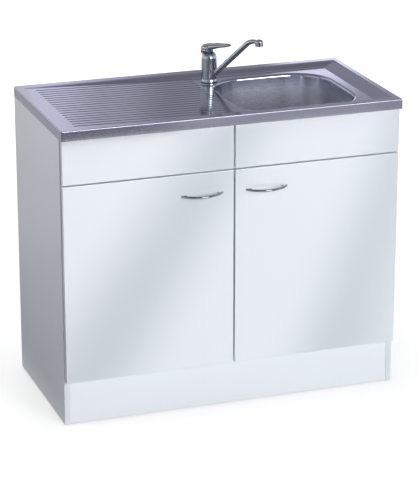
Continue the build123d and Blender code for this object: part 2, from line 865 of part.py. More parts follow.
for side, name in SIDES:
    handle_x = side * (door_inner + handle_from_inner_edge)
    handle_xs = [handle_x + shift for shift in (-handle_hole_spacing / 2, handle_hole_spacing / 2)]
    cup_screw_spots = [
        (side * cup_screw_x, door_back + cup_flange, height + shift)
        for height in hinge_heights
        for shift in (-cup_screw_spacing / 2, cup_screw_spacing / 2)
    ]

    with BuildPart() as door:
        block(side * door_inner, side * door_outer, door_face, door_back, door_bottom, door_top)
        fillet(door.edges(), edge_round)
        for height in hinge_heights:
            rod((side * cup_lengthwise, door_back, height), (0, -1, 0), cup_radius, cup_depth, Mode.SUBTRACT)
        for spot in cup_screw_spots:
            rod(spot, (0, -1, 0), screw_radius + screw_play, screw_length + hole_slack, Mode.SUBTRACT)
        for x in handle_xs:
            rod((x, door_back, handle_z), (0, -1, 0), machine_screw_radius + screw_play, board, Mode.SUBTRACT)
    save(door, f"door_{name}")

    with BuildPart() as hinge_cups:
        for height in hinge_heights:
            centre = (side * cup_lengthwise, door_back + cup_flange, height)
            with BuildSketch(Plane(centre, x_dir=(1, 0, 0), z_dir=(0, -1, 0))) as flange:
                with Locations((-side * cup_screw_offset / 2, 0)):
                    RectangleRounded(cup_flange_width, cup_flange_length, cup_screw_offset)
            extrude(flange.sketch, amount=cup_flange)
            rod(centre, (0, -1, 0), cup_radius - cup_play, cup_flange + cup_depth)
            hollow = cup_flange + cup_depth - cup_wall
            rod(centre, (0, -1, 0), cup_radius - cup_play - cup_wall, hollow, Mode.SUBTRACT)
        for spot in cup_screw_spots:
            rod(spot, (0, -1, 0), screw_radius + screw_play, cup_flange, Mode.SUBTRACT)
    save(hinge_cups, f"hinge_cups_{name}")

    with BuildPart() as cup_screws:
        for spot in cup_screw_spots:
            screw(spot, (0, -1, 0), screw_length)
    save(cup_screws, f"hinge_cup_screws_{name}")

    # The bow is an arc that stands out from the door and is cut off flat at its face
    with BuildPart() as handle:
        level = Plane((handle_x, door_face, handle_z))
        with BuildLine(level) as bow:
            half_angle = degrees(atan(handle_chord / 2 / handle_centre)) + handle_overrun
            CenterArc((0, handle_centre), handle_radius, 270 - half_angle, 2 * half_angle)
        with BuildSketch(Plane(bow.line @ 0, x_dir=(0, 0, 1), z_dir=bow.line % 0)):
            Ellipse(handle_width, handle_thickness)
        sweep()
        for x in handle_xs:
            rod((x, door_face, handle_z), (0, -1, 0), handle_post_radius, handle_post)
        block(
            handle_x - handle_chord,
            handle_x + handle_chord,
            door_face,
            door_back,
            handle_z - board,
            handle_z + board,
            Mode.SUBTRACT,
        )
        for x in handle_xs:
            spot = (x, door_face, handle_z)
            rod(spot, (0, -1, 0), machine_screw_radius + screw_play, handle_thread_depth, Mode.SUBTRACT)
    save(handle, f"handle_{name}")

    with BuildPart() as handle_screws:
        for x in handle_xs:
            spot = (x, door_back, handle_z)
            screw(spot, (0, -1, 0), handle_screw_length, machine_screw_radius, machine_head_radius)
    save(handle_screws, f"handle_screws_{name}")

    with BuildPart() as bumpers:
        for z in bumper_zs:
            spot = (side * (door_inner + bumper_from_edge), door_back, z)
            rod(spot, (0, 1, 0), bumper_radius, bumper_height)
        fillet(bumpers.faces().sort_by(Axis.Y)[-2:].edges(), edge_round)
    save(bumpers, f"door_bumpers_{name}")

# The mounting plates and arms stay on the side panels
with BuildPart() as hinge_plates:
    for side, _ in SIDES:
        near = side * side_inner
        for height in hinge_heights:
            block(
                near,
                near - side * plate_height,
                carcass_front + plate_from_front,
                carcass_front + plate_from_front + plate_length,
                height - plate_width / 2,
                height + plate_width / 2,
            )
            block(
                near,
                near - side * wing_height,
                plate_y - wing_width / 2,
                plate_y + wing_width / 2,
                height - wing_span / 2,
                height + wing_span / 2,
            )
    add(board_screw_holes, mode=Mode.SUBTRACT)
save(hinge_plates, "hinge_plates")

nose_front = door_back - cup_depth + cup_wall + nose_gap
with BuildPart() as hinge_arms:
    for side, _ in SIDES:
        rear = side * (side_inner - plate_height)
        spine = rear - side * arm_height
        tip = rear - side * nose_height
        for height in hinge_heights:
            with BuildSketch(Plane.XY.offset(height - arm_width / 2)) as outline:
                with BuildLine():
                    Polyline(
                        (rear, nose_front),
                        (rear, carcass_front + arm_tail),
                        (spine, carcass_front + arm_tail),
                        (spine, carcass_front + nose_length + nose_slope),
                        (tip, carcass_front + nose_length),
                        (tip, nose_front),
                        close=True,
                    )
                make_face()
            extrude(outline.sketch, amount=arm_width)
save(hinge_arms, "hinge_arms")

# ---------------------------------------------------------------- waste, strainer and trap


def turned(x, y, points, mode=Mode.ADD):
    """A round piece about an upright line, from the (radius, height) corners of its half section."""
    with BuildSketch(Plane((x, y, 0), x_dir=(1, 0, 0), z_dir=(0, -1, 0))) as section:
        with BuildLine():
            Polyline(*points, close=True)
        make_face()
    revolve(section.sketch, axis=Axis((x, y, 0), (0, 0, 1)), mode=mode)


def ring_of_holes(x, y, z, circle, count, radius, depth):
    """Cut a circle of upright round holes down from a height."""
    with BuildSketch(Plane((x, y, z))) as holes:
        with PolarLocations(circle, count):
            Circle(radius)
    extrude(holes.sketch, amount=-depth, mode=Mode.SUBTRACT)


def union_nut(centre, direction):
    """A collar nut with gripping flats that opens in a direction, with a lip behind its thread."""
    end = Plane(origin=centre, z_dir=direction)
    with BuildPart(mode=Mode.PRIVATE) as nut:
        with BuildSketch(end):
            RegularPolygon(thread_radius + nut_wall, nut_flat_count, major_radius=False)
        extrude(amount=nut_height)
        fillet(nut.faces().sort_by(Axis(centre, direction))[0].edges(), edge_round)
        rod(centre, direction, tube_radius + tube_play, nut_height, Mode.SUBTRACT)
        rod(end.offset(nut_lip).origin, direction, thread_radius + tube_play, nut_height, Mode.SUBTRACT)
    add(nut.part)


strainer_floor = seat_level - strainer_depth + strainer_wall
strainer_inner = strainer_radius - strainer_wall
screw_way = waste_screw_radius + screw_play

with BuildPart() as strainer_flange:
    turned(
        bowl_x,
        bowl_y,
        (
            (flange_radius, seat_level),
            (flange_radius, seat_level + flange_thickness / 2),
            (flange_radius - flange_thickness, seat_level + flange_thickness),
            (strainer_radius + flange_thickness, seat_level + flange_thickness),
            (strainer_inner, seat_level),
            (strainer_inner, strainer_floor),
            (screw_way, strainer_floor),
            (screw_way, strainer_floor - strainer_wall),
            (strainer_radius, strainer_floor - strainer_wall),
            (strainer_radius, seat_level),
        ),
    )
    ring_of_holes(
        bowl_x,
        bowl_y,
        strainer_floor,
        strainer_hole_circle,
        strainer_hole_count,
        strainer_hole_radius,
        strainer_wall,
    )
save(strainer_flange, "strainer_flange")

with BuildPart() as strainer_gasket:
    ring(bowl_x, bowl_y, waste_top, flange_radius, waste_hole_radius, gasket_thickness)
save(strainer_gasket, "strainer_gasket")

# A screw draws the strainer down against a bridge across the waste body
bridge_top = strainer_floor - strainer_wall
port_z = waste_top - port_drop
waste_inner = waste_bowl_radius - waste_wall
tube_way = tube_radius + tube_play
with BuildPart() as waste_body:
    turned(
        bowl_x,
        bowl_y,
        (
            (waste_rim_radius, waste_top),
            (waste_rim_radius, waste_top - waste_rim),
            (waste_bowl_radius, waste_top - waste_rim),
            (waste_bowl_radius, waste_bottom + waste_wall),
            (waste_inner, waste_bottom),
            (thread_radius, waste_bottom),
            (thread_radius, spigot_bottom),
            (tube_way, spigot_bottom),
            (tube_way, waste_bottom + waste_wall),
            (waste_inner, waste_bottom + waste_wall),
            (waste_inner, waste_top),
        ),
    )
    block(
        bowl_x - waste_inner - weld,
        bowl_x + waste_inner + weld,
        bowl_y - waste_bridge_width / 2,
        bowl_y + waste_bridge_width / 2,
        bridge_top - waste_bridge_height,
        bridge_top,
    )
    port = (bowl_x - waste_inner - weld, bowl_y, port_z)
    rod(port, (-1, 0, 0), socket_radius, port_length)
    rod(port, (-1, 0, 0), overflow_pipe_radius + tube_play, port_length, Mode.SUBTRACT)
    inner = overflow_pipe_radius - overflow_pipe_wall
    rod((bowl_x, bowl_y, port_z), (-1, 0, 0), inner, waste_bowl_radius, Mode.SUBTRACT)
    rod((bowl_x, bowl_y, bridge_top), (0, 0, -1), screw_way, waste_bridge_height, Mode.SUBTRACT)
save(waste_body, "waste_body")

with BuildPart() as waste_screw:
    centre = (bowl_x, bowl_y, strainer_floor)
    screw(centre, (0, 0, -1), waste_screw_length, waste_screw_radius, waste_screw_head_radius)
save(waste_screw, "waste_screw")

# The strainer basket stands loose in its flange and lifts out by its knob
basket_bottom = strainer_floor + screw_head + basket_gap
basket_top = basket_bottom + basket_depth
basket_floor = basket_bottom + basket_wall
basket_inner = basket_radius - basket_wall
knob_bottom = basket_bottom + stem_height
knob_top = knob_bottom + knob_height + basket_wall
with BuildPart() as strainer_basket:
    turned(
        bowl_x,
        bowl_y,
        (
            (0, basket_bottom),
            (basket_inner, basket_bottom),
            (basket_radius, basket_floor),
            (basket_radius, basket_top),
            (basket_inner, basket_top),
            (basket_inner, basket_floor),
            (stem_radius, basket_floor),
            (stem_radius, knob_bottom),
            (knob_radius, knob_bottom + basket_wall),
            (knob_radius, knob_top - basket_wall),
            (knob_radius - basket_wall, knob_top),
            (0, knob_top),
        ),
    )
    with BuildSketch(Plane((bowl_x, bowl_y, (basket_bottom + basket_top - basket_slot_height) / 2))) as slots:
        with PolarLocations(basket_radius, basket_slot_count):
            Rectangle(basket_slot_reach, basket_slot_width)
    extrude(slots.sketch, amount=basket_slot_height, mode=Mode.SUBTRACT)
    ring_of_holes(
        bowl_x,
        bowl_y,
        basket_floor,
        strainer_hole_circle,
        strainer_hole_count,
        strainer_hole_radius,
        basket_wall,
    )
save(strainer_basket, "strainer_basket")

collar_top = tube_bottom + collar_height
bottle_bottom = tube_bottom - bottle_height
bottle_inner = bottle_radius - bottle_wall
stub_end = bowl_y + bottle_radius + outlet_stub

with BuildPart() as trap_inlet_tube:
    ring(bowl_x, bowl_y, tube_bottom, tube_radius, tube_radius - tube_wall, inlet_tube_length)
save(trap_inlet_tube, "trap_inlet_tube")

with BuildPart() as trap_nuts:
    union_nut((bowl_x, bowl_y, spigot_bottom - nut_lip), (0, 0, 1))
    union_nut((bowl_x, bowl_y, collar_top + nut_lip), (0, 0, -1))
    union_nut((bowl_x, stub_end + nut_lip, outlet_z), (0, -1, 0))
save(trap_nuts, "trap_nuts")

# The dip tube ends under water in the cup, which keeps the smell out
with BuildPart() as trap_body:
    turned(
        bowl_x,
        bowl_y,
        (
            (0, collar_top),
            (thread_radius, collar_top),
            (thread_radius, tube_bottom),
            (bottle_inner, tube_bottom),
            (bottle_radius, tube_bottom - bottle_wall),
            (bottle_radius, bottle_bottom),
            (0, bottle_bottom),
        ),
    )
    rod((bowl_x, bowl_y, outlet_z), (0, 1, 0), thread_radius, stub_end - bowl_y)
    ceiling = tube_bottom - bottle_wall
    rod((bowl_x, bowl_y, ceiling), (0, 0, -1), bottle_inner, bottle_height, Mode.SUBTRACT)
    rod((bowl_x, bowl_y, collar_top), (0, 0, -1), tube_way, collar_height, Mode.SUBTRACT)
    rod((bowl_x, bowl_y, tube_bottom), (0, 0, -1), dip_radius, dip_depth)
    rod((bowl_x, bowl_y, tube_bottom), (0, 0, -1), dip_radius - dip_wall, dip_depth, Mode.SUBTRACT)
    rod((bowl_x, stub_end, outlet_z), (0, -1, 0), tube_way, outlet_overlap, Mode.SUBTRACT)
    clear = bowl_y + dip_radius + dip_wall
    rod((bowl_x, clear, outlet_z), (0, 1, 0), tube_radius - tube_wall, stub_end - clear, Mode.SUBTRACT)
save(trap_body, "trap_body")

cup_inner = bottle_radius + tube_play
cup_outer = cup_inner + bottle_cup_wall
cup_rim = bottle_bottom + bottle_thread
cup_base = cup_rim - bottle_cup_depth
cup_floor = cup_base + bottle_cup_wall
with BuildPart() as trap_cup:
    turned(
        bowl_x,
        bowl_y,
        (
            (cup_outer, cup_rim),
            (cup_outer, cup_base + bottle_wall),
            (cup_outer - bottle_wall, cup_base),
            (0, cup_base),
            (0, cup_floor),
            (bottle_inner - bottle_wall, cup_floor),
            (bottle_inner, cup_floor + bottle_wall),
            (bottle_inner, bottle_bottom),
            (cup_inner, bottle_bottom),
            (cup_inner, cup_rim),
        ),
    )
save(trap_cup, "trap_cup")

outlet_start = stub_end - outlet_overlap
outlet_length = back - outlet_short_of_back - outlet_start
# A shallow ring round the outlet pipe shows how far it goes into the next fitting
with BuildPart() as outlet_pipe:
    start = (bowl_x, outlet_start, outlet_z)
    rod(start, (0, 1, 0), tube_radius, outlet_length)
    rod(start, (0, 1, 0), tube_radius - tube_wall, outlet_length, Mode.SUBTRACT)
    mark = Plane((bowl_x, back - outlet_short_of_back - outlet_free_end, outlet_z), z_dir=(0, -1, 0))
    with BuildSketch(mark) as groove:
        Circle(tube_radius + weld)
        Circle(tube_radius - outlet_mark_depth, mode=Mode.SUBTRACT)
    extrude(groove.sketch, amount=outlet_mark_width, mode=Mode.SUBTRACT)
save(outlet_pipe, "outlet_pipe")

# ---------------------------------------------------------------- overflow

rosette_face = rosette_stand + rosette_thickness
with BuildPart() as overflow_rosette:
    lean_rod(-rosette_face, rosette_radius, rosette_thickness)
    fillet(overflow_rosette.edges().filter_by(GeomType.CIRCLE).sort_by(Axis.X)[-1], rosette_thickness / 2)
    with BuildSketch(Plane(overflow_place - overflow_out * rosette_face, z_dir=overflow_out)):
        with PolarLocations(rosette_hole_circle, rosette_hole_count):
            Circle(rosette_hole_radius)
        Circle(machine_screw_radius + screw_play)
    extrude(amount=rosette_thickness, mode=Mode.SUBTRACT)
save(overflow_rosette, "overflow_rosette")

with BuildPart() as overflow_screw:
    seat = overflow_place - overflow_out * rosette_face
    screw(seat, overflow_out, overflow_screw_length, machine_screw_radius, machine_head_radius)
save(overflow_screw, "overflow_screw")

elbow_start = sheet + tube_play
socket_centre = overflow_place + overflow_out * (elbow_start + elbow_length - elbow_radius)
socket_bottom = Vector(socket_centre.X, socket_centre.Y, socket_centre.Z - elbow_drop)
pipe_bore = overflow_pipe_radius - overflow_pipe_wall
with BuildPart() as overflow_elbow:
    lean_rod(elbow_start, rosette_radius, elbow_flange)
    lean_rod(elbow_start, elbow_radius, elbow_length)
    rod(socket_centre, (0, 0, -1), socket_radius, elbow_drop)
    lean_rod(elbow_start, elbow_bore, elbow_length - elbow_flange, Mode.SUBTRACT)
    rod(socket_centre, (0, 0, -1), pipe_bore, elbow_drop, Mode.SUBTRACT)
    rod(socket_bottom, (0, 0, 1), overflow_pipe_radius + tube_play, overflow_overlap, Mode.SUBTRACT)
    lean_rod(elbow_start, elbow_post_radius, elbow_length - elbow_flange)
    lean_rod(elbow_start, machine_screw_radius + screw_play, overflow_screw_length, Mode.SUBTRACT)
save(overflow_elbow, "overflow_elbow")

pipe_x = socket_centre.X
pipe_top = socket_bottom.Z + overflow_overlap
with BuildPart() as overflow_pipe:
    with BuildLine():
        FilletPolyline(
            (pipe_x, bowl_y, pipe_top),
            (pipe_x, bowl_y, port_z),
            (bowl_x - waste_bowl_radius, bowl_y, port_z),
            radius=overflow_bend,
        )
    with BuildSketch(Plane((pipe_x, bowl_y, pipe_top), z_dir=(0, 0, -1))):
        Circle(overflow_pipe_radius)
        Circle(pipe_bore, mode=Mode.SUBTRACT)
    sweep()
save(overflow_pipe, "overflow_pipe")

# ---------------------------------------------------------------- mixer tap

spout_way = Vector(cos(tap_angle), -sin(tap_angle), 0)
side_way = Vector(-sin(tap_angle), -cos(tap_angle), 0)
tap_section = Plane((tap_x, tap_y, pan_level), x_dir=spout_way, z_dir=side_way)
UP = (0, 0, 1)
DOWN = (0, 0, -1)


def tap_place(reach, height):
    """A place over the pan by its reach towards the spout's end and its height."""
    return Vector(tap_x, tap_y, pan_level + height) + spout_way * reach


def tap_turned(points, mode=Mode.ADD):
    """A round shape about the tap's axis, from (radius, height over the pan) corners."""
    turned(tap_x, tap_y, [(radius, pan_level + height) for radius, height in points], mode)


with BuildPart() as tap_gasket:
    ring(tap_x, tap_y, pan_level, tap_gasket_radius, tap_hole_radius, tap_gasket_thickness)
save(tap_gasket, "tap_gasket")

post_top = spout_hub_top + turning_gap
groove_mid = (tap_base_top + spout_hub_top) / 2
groove_low = groove_mid - post_groove_height / 2
groove_high = groove_mid + post_groove_height / 2
inlet_shifts = (-inlet_spacing / 2, inlet_spacing / 2)
under_deck = pan_level - sheet
stud_y = tap_y + stud_offset
with BuildPart() as tap_base:
    tap_turned(
        (
            (0, -sheet),
            (tap_collar_radius, -sheet),
            (tap_collar_radius, tap_gasket_thickness),
            (tap_base_radius, tap_gasket_thickness),
            (tap_base_radius, tap_base_top / 2),
            (spout_hub_radius, tap_base_top),
            (post_radius, tap_base_top),
            (post_radius, groove_low),
            (post_groove_radius, groove_low),
            (post_groove_radius, groove_high),
            (post_radius, groove_high),
            (post_radius, post_top),
            (0, post_top),
        )
    )
    for shift in inlet_shifts:
        start = (tap_x + shift, tap_y, under_deck)
        rod(start, UP, inlet_radius, inlet_depth, Mode.SUBTRACT)
        rod(start, UP, waterway_radius, post_top + sheet, Mode.SUBTRACT)
    rod(tap_place(0, groove_mid), UP, waterway_radius, post_top - groove_mid, Mode.SUBTRACT)
    rod(tap_place(0, groove_mid), (0, 1, 0), waterway_radius, post_radius, Mode.SUBTRACT)
    start = (tap_x, stud_y, under_deck)
    rod(start, UP, stud_radius + screw_play, stud_bite + hole_slack, Mode.SUBTRACT)
save(tap_base, "tap_base")

with BuildPart() as tap_stud:
    rod((tap_x, stud_y, under_deck + stud_bite), DOWN, stud_radius, stud_length)
save(tap_stud, "tap_stud")

with BuildPart() as tap_clamp_plate:
    with BuildSketch(Plane((tap_x, tap_y, under_deck))):
        Circle(clamp_radius)
        SlotCenterToCenter(inlet_spacing, 2 * (inlet_radius + hole_slack), mode=Mode.SUBTRACT)
        with Locations((0, stud_offset)):
            Circle(stud_radius + screw_play, mode=Mode.SUBTRACT)
    extrude(amount=-clamp_thickness)
save(tap_clamp_plate, "tap_clamp_plate")

with BuildPart() as tap_stud_nut:
    with BuildSketch(Plane((tap_x, stud_y, under_deck - clamp_thickness))):
        RegularPolygon(nut_across / 2, stud_nut_flat_count, major_radius=False)
        Circle(stud_radius + screw_play, mode=Mode.SUBTRACT)
    extrude(amount=-stud_nut_height)
save(tap_stud_nut, "tap_stud_nut")

# The spout's hub turns on the post, between the base and the body
body_way = tap_body_radius + turning_gap
head_centre = tap_place(spout_reach, head_bottom)
with BuildPart() as tap_spout:
    ring(
        tap_x,
        tap_y,
        pan_level + tap_base_top + turning_gap,
        spout_hub_radius,
        post_radius,
        spout_hub_top - tap_base_top - turning_gap,
    )
    with BuildLine(tap_section) as route:
        FilletPolyline(spout_start, spout_corner, (spout_reach, spout_height), radius=spout_bend)
    rise = route.edges().filter_by(GeomType.LINE).sort_by(SortBy.LENGTH)[-1]
    bend = route.edges().filter_by(GeomType.CIRCLE)[0]
    wide = Plane(bend @ 0, z_dir=bend % 0)
    narrow = Plane(bend @ 1, z_dir=bend % 1)
    with BuildSketch(wide) as tube_end:
        Circle(spout_tube_radius)
    with BuildSketch(narrow) as neck:
        Circle(spout_neck_radius)
    extrude(tube_end.sketch, amount=-rise.length)
    sweep(sections=[tube_end.sketch, neck.sketch], path=bend, multisection=True)
    extrude(neck.sketch, amount=(head_centre - narrow.origin).length)
    with BuildPart(mode=Mode.PRIVATE) as head:
        rod(head_centre, UP, head_radius, head_height)
        fillet(head.faces().sort_by(Axis.Z)[-1].edges(), head_round)
    add(head.part)
    with BuildSketch(Plane(route.line @ 0, z_dir=route.line % 0)) as bore:
        Circle(spout_bore_radius)
    sweep(bore.sketch, path=route.line, mode=Mode.SUBTRACT)
    rod(head_centre, UP, head_bore_radius, head_bore_depth, Mode.SUBTRACT)
    rod(tap_place(0, tap_base_top), UP, post_radius + running_play, spout_hub_top, Mode.SUBTRACT)
    rod(tap_place(0, spout_hub_top), UP, body_way, spout_hub_top, Mode.SUBTRACT)
save(tap_spout, "tap_spout")

with BuildPart() as spout_aerator:
    end = tap_place(spout_reach, aerator_bottom)
    rod(end, UP, aerator_radius, aerator_height)
    rod(head_centre, UP, head_bore_radius - tube_play, head_bore_depth / 2)
    rod(head_centre, UP, aerator_bore_radius, head_bore_depth, Mode.SUBTRACT)
    rod(end, UP, aerator_bore_radius, aerator_plate, Mode.SUBTRACT)
    plate_top = pan_level + head_bottom
    ring_of_holes(
        end.X,
        end.Y,
        plate_top,
        aerator_hole_circle,
        aerator_hole_count,
        aerator_hole_radius,
        aerator_height,
    )
save(spout_aerator, "spout_aerator")

with BuildPart() as tap_body:
    tap_turned(((0, post_top), (tap_body_radius, post_top), (dome_radius, lever_pivot), (0, lever_pivot)))
    with Locations(tap_place(0, lever_pivot)):
        Sphere(dome_radius)
        Sphere(dome_radius - dome_wall, mode=Mode.SUBTRACT)
    rod(tap_place(0, lever_pivot), UP, dome_mouth_radius, dome_radius, Mode.SUBTRACT)
    bore_bottom = post_top + tap_body_floor
    rod(tap_place(0, bore_bottom), UP, cartridge_radius, lever_pivot - bore_bottom, Mode.SUBTRACT)
    for shift in (*inlet_shifts, 0):
        start = (tap_x + shift, tap_y, pan_level + post_top)
        rod(start, UP, waterway_radius, tap_body_floor, Mode.SUBTRACT)
save(tap_body, "tap_body")

with BuildPart() as tap_cartridge:
    rod(tap_place(0, bore_bottom), UP, cartridge_radius - running_play, cartridge_top - bore_bottom)
    depth = cartridge_top - carrier_bottom
    rod(tap_place(0, carrier_bottom), UP, carrier_radius + running_play, depth, Mode.SUBTRACT)
save(tap_cartridge, "tap_cartridge")

# The carrier turns with the lever, whose pin rocks in the carrier's slot
with BuildPart() as cartridge_carrier:
    start = tap_place(0, carrier_bottom + turning_gap)
    rod(start, UP, carrier_radius, carrier_top - carrier_bottom - turning_gap)
    with BuildSketch(Plane(tap_place(0, carrier_slot_floor), x_dir=spout_way, z_dir=UP)):
        Rectangle(carrier_slot_length, pin_width + 2 * turning_gap)
    extrude(amount=carrier_top - carrier_slot_floor, mode=Mode.SUBTRACT)
save(cartridge_carrier, "cartridge_carrier")

with BuildPart() as lever_pin:
    with BuildSketch(Plane(tap_place(0, pin_bottom), x_dir=spout_way, z_dir=UP)):
        Rectangle(pin_width, pin_width)
    extrude(amount=pin_top - pin_bottom)
save(lever_pin, "lever_pin")

# The hood hangs low behind, opens in an arch below the lever and turns close round the dome
hood_bottom = lever_pivot + hood_skirt
slope = radians(hood_slope)
hood_peak = hood_top + hood_radius * tan(slope)
plug_place = tap_place(-hood_radius, plug_height)
with BuildPart() as tap_lever:
    rod(tap_place(0, hood_bottom), UP, hood_radius, hood_peak - hood_bottom)
    tilted = spout_way * -sin(slope) + Vector(0, 0, cos(slope))
    split(bisect_by=Plane(tap_place(0, hood_top), z_dir=tilted), keep=Keep.BOTTOM)
    fillet(tap_lever.faces().sort_by(Axis.Z)[-1].edges(), hood_round)
    with BuildSketch(tap_section):
        with BuildLine():
            EllipticalCenterArc(
                (hood_cut_reach, hood_bottom),
                hood_cut_reach + hood_radius,
                hood_cut_height - hood_bottom,
                start_angle=quarter_turn,
                arc_size=quarter_turn,
            )
            Polyline(
                (-hood_radius, hood_bottom),
                (-hood_radius, lever_pivot),
                (lever_tip, lever_pivot),
                (lever_tip, hood_cut_height),
                (hood_cut_reach, hood_cut_height),
            )
        make_face()
    extrude(amount=hood_radius + edge_round, both=True, mode=Mode.SUBTRACT)
    rod(tap_place(0, hood_bottom), UP, hood_boss_radius, hood_cut_height - hood_bottom)
    with BuildPart(mode=Mode.PRIVATE) as arm:
        stations = []
        for reach, width, low, high in lever_stations:
            middle = tap_place(reach, (low + high) / 2)
            with BuildSketch(Plane(middle, x_dir=side_way, z_dir=spout_way)) as station:
                RectangleRounded(width, high - low, (high - low) * lever_edge_share)
            stations.append(station.sketch)
        loft(stations)
    add(arm.part)
    with Locations(tap_place(0, lever_pivot)):
        Sphere(dome_radius + hood_play, mode=Mode.SUBTRACT)
    with BuildSketch(Plane(tap_place(0, lever_pivot), x_dir=spout_way, z_dir=UP)):
        Rectangle(pin_width + 2 * screw_play, pin_width + 2 * screw_play)
    extrude(amount=pin_top + screw_play - lever_pivot, mode=Mode.SUBTRACT)
    rod(plug_place, spout_way, plug_radius + screw_play, plug_length + hole_slack, Mode.SUBTRACT)
save(tap_lever, "tap_lever")

with BuildPart() as lever_plug:
    rod(plug_place + spout_way * hole_slack, spout_way, plug_radius, plug_length)
save(lever_plug, "lever_plug")
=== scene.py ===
import math

import bpy
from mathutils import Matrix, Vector


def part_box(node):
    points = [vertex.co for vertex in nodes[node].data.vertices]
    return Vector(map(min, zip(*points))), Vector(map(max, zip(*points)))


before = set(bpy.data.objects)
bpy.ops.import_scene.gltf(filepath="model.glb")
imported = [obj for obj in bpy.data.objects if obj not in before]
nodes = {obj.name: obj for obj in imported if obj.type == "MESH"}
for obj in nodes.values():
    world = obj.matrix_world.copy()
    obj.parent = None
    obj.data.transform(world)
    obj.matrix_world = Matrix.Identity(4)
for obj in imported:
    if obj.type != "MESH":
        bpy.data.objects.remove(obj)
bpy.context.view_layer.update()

# The photograph's camera: metres in the shared frame, radians, and pixels of the 418 x 480 picture
IMAGE_HEIGHT = 480
SENSOR = 36.0
FOCAL_PX = 2243.1
YAW = 0.339
PITCH = 0.332
EYE = (-2.0474, -5.8206, 2.5556)

# Colours, all linear
FRONT_WHITE = (0.81, 0.87, 0.94)
CARCASS_WHITE = (0.76, 0.80, 0.88)
STEEL = (0.46, 0.47, 0.59)
SATIN_STEEL = (0.67, 0.69, 0.74)
TAP_CHROME = (0.45, 0.48, 0.53)
# The handles' plating is set much darker than the tap's: painted shade, standing in for the dark
# surroundings that the handles reflect
SHADED_HANDLE_CHROME = (0.32, 0.34, 0.38)

# The bowl turns satin this far under the rim, over this height, and is this much rougher
SATIN_START = 0.02
SATIN_FADE = 0.03
SATIN_ROUGHNESS = 0.15

# How far in from a board's edges its foil is worn
WORN_EDGE = 0.0012


# ---------------------------------------------------------------- shader helpers


class Shader:
    """A material under construction, with short calls for the nodes it uses."""

    def __init__(self, name):
        self.material = bpy.data.materials.new(name)
        self.material.use_nodes = True
        self.tree = self.material.node_tree
        self.surface = self.tree.nodes["Principled BSDF"]
        self.place = self.tree.nodes.new("ShaderNodeTexCoord").outputs["Object"]

    def put(self, socket, value):
        """Set a socket to a value, or link it to another node's output."""
        if isinstance(value, bpy.types.NodeSocket):
            self.tree.links.new(value, socket)
        else:
            socket.default_value = value

    def set(self, **values):
        """Set the surface's own sockets by name, with underscores for spaces."""
        for name, value in values.items():
            self.put(self.surface.inputs[name.replace("_", " ")], value)

    def math(self, operation, first, second=0.0, third=0.0):
        node = self.tree.nodes.new("ShaderNodeMath")
        node.operation = operation
        for socket, value in zip(node.inputs, (first, second, third)):
            self.put(socket, value)
        return node.outputs[0]

    def axis(self, index, source=None):
        node = self.tree.nodes.new("ShaderNodeSeparateXYZ")
        self.put(node.inputs[0], source or self.place)
        return node.outputs[index]

    def stretched(self, scale, turn=(0.0, 0.0, 0.0)):
        node = self.tree.nodes.new("ShaderNodeMapping")
        self.put(node.inputs["Vector"], self.place)
        node.inputs["Scale"].default_value = scale
        node.inputs["Rotation"].default_value = turn
        return node.outputs[0]

    def noise(self, scale, detail=4.0, where=None, roughness=0.5):
        node = self.tree.nodes.new("ShaderNodeTexNoise")
        self.put(node.inputs["Vector"], where or self.place)
        node.inputs["Scale"].default_value = scale
        node.inputs["Detail"].default_value = detail
        node.inputs["Roughness"].default_value = roughness
        return node.outputs["Fac"]

    def cells(self, scale, where=None):
        node = self.tree.nodes.new("ShaderNodeTexVoronoi")
        self.put(node.inputs["Vector"], where or self.place)
        node.inputs["Scale"].default_value = scale
        return node.outputs["Distance"], node.outputs["Color"]

    def spread(self, value, low, high, out_low=0.0, out_high=1.0):
        node = self.tree.nodes.new("ShaderNodeMapRange")
        sockets = ("Value", "From Min", "From Max", "To Min", "To Max")
        for name, given in zip(sockets, (value, low, high, out_low, out_high)):
            self.put(node.inputs[name], given)
        return node.outputs[0]

    def blend(self, factor, first, second):
        node = self.tree.nodes.new("ShaderNodeMix")
        node.data_type = "RGBA"
        colours = [socket for socket in node.inputs if socket.type == "RGBA"]
        self.put(node.inputs[0], factor)
        for socket, value in zip(colours, (first, second)):
            self.put(socket, (*value, 1.0) if isinstance(value, tuple) else value)
        return next(socket for socket in node.outputs if socket.type == "RGBA")

    def bump(self, height, strength, distance):
        node = self.tree.nodes.new("ShaderNodeBump")
        self.put(node.inputs["Height"], height)
        node.inputs["Strength"].default_value = strength
        node.inputs["Distance"].default_value = distance
        self.put(self.surface.inputs["Normal"], node.outputs[0])

    def edge(self, low, high, width):
        """1 at a box's edges, falling to 0 a width away from them."""
        outside = []
        for index in range(3):
            middle = (low[index] + high[index]) / 2
            half = (high[index] - low[index]) / 2
            away = self.math("ABSOLUTE", self.math("SUBTRACT", self.axis(index), middle))
            outside.append(self.math("SUBTRACT", away, half))
        nearer = self.math("MINIMUM", outside[0], outside[1])
        farther = self.math("MAXIMUM", outside[0], outside[1])
        second = self.math("MAXIMUM", nearer, self.math("MINIMUM", farther, outside[2]))
        return self.spread(second, -width, 0.0)


def wear(names, material):
    """Give CAD nodes a material."""
    for name in names:
        slots = nodes[name].data.materials
        slots.clear()
        slots.append(material)


# ---------------------------------------------------------------- materials


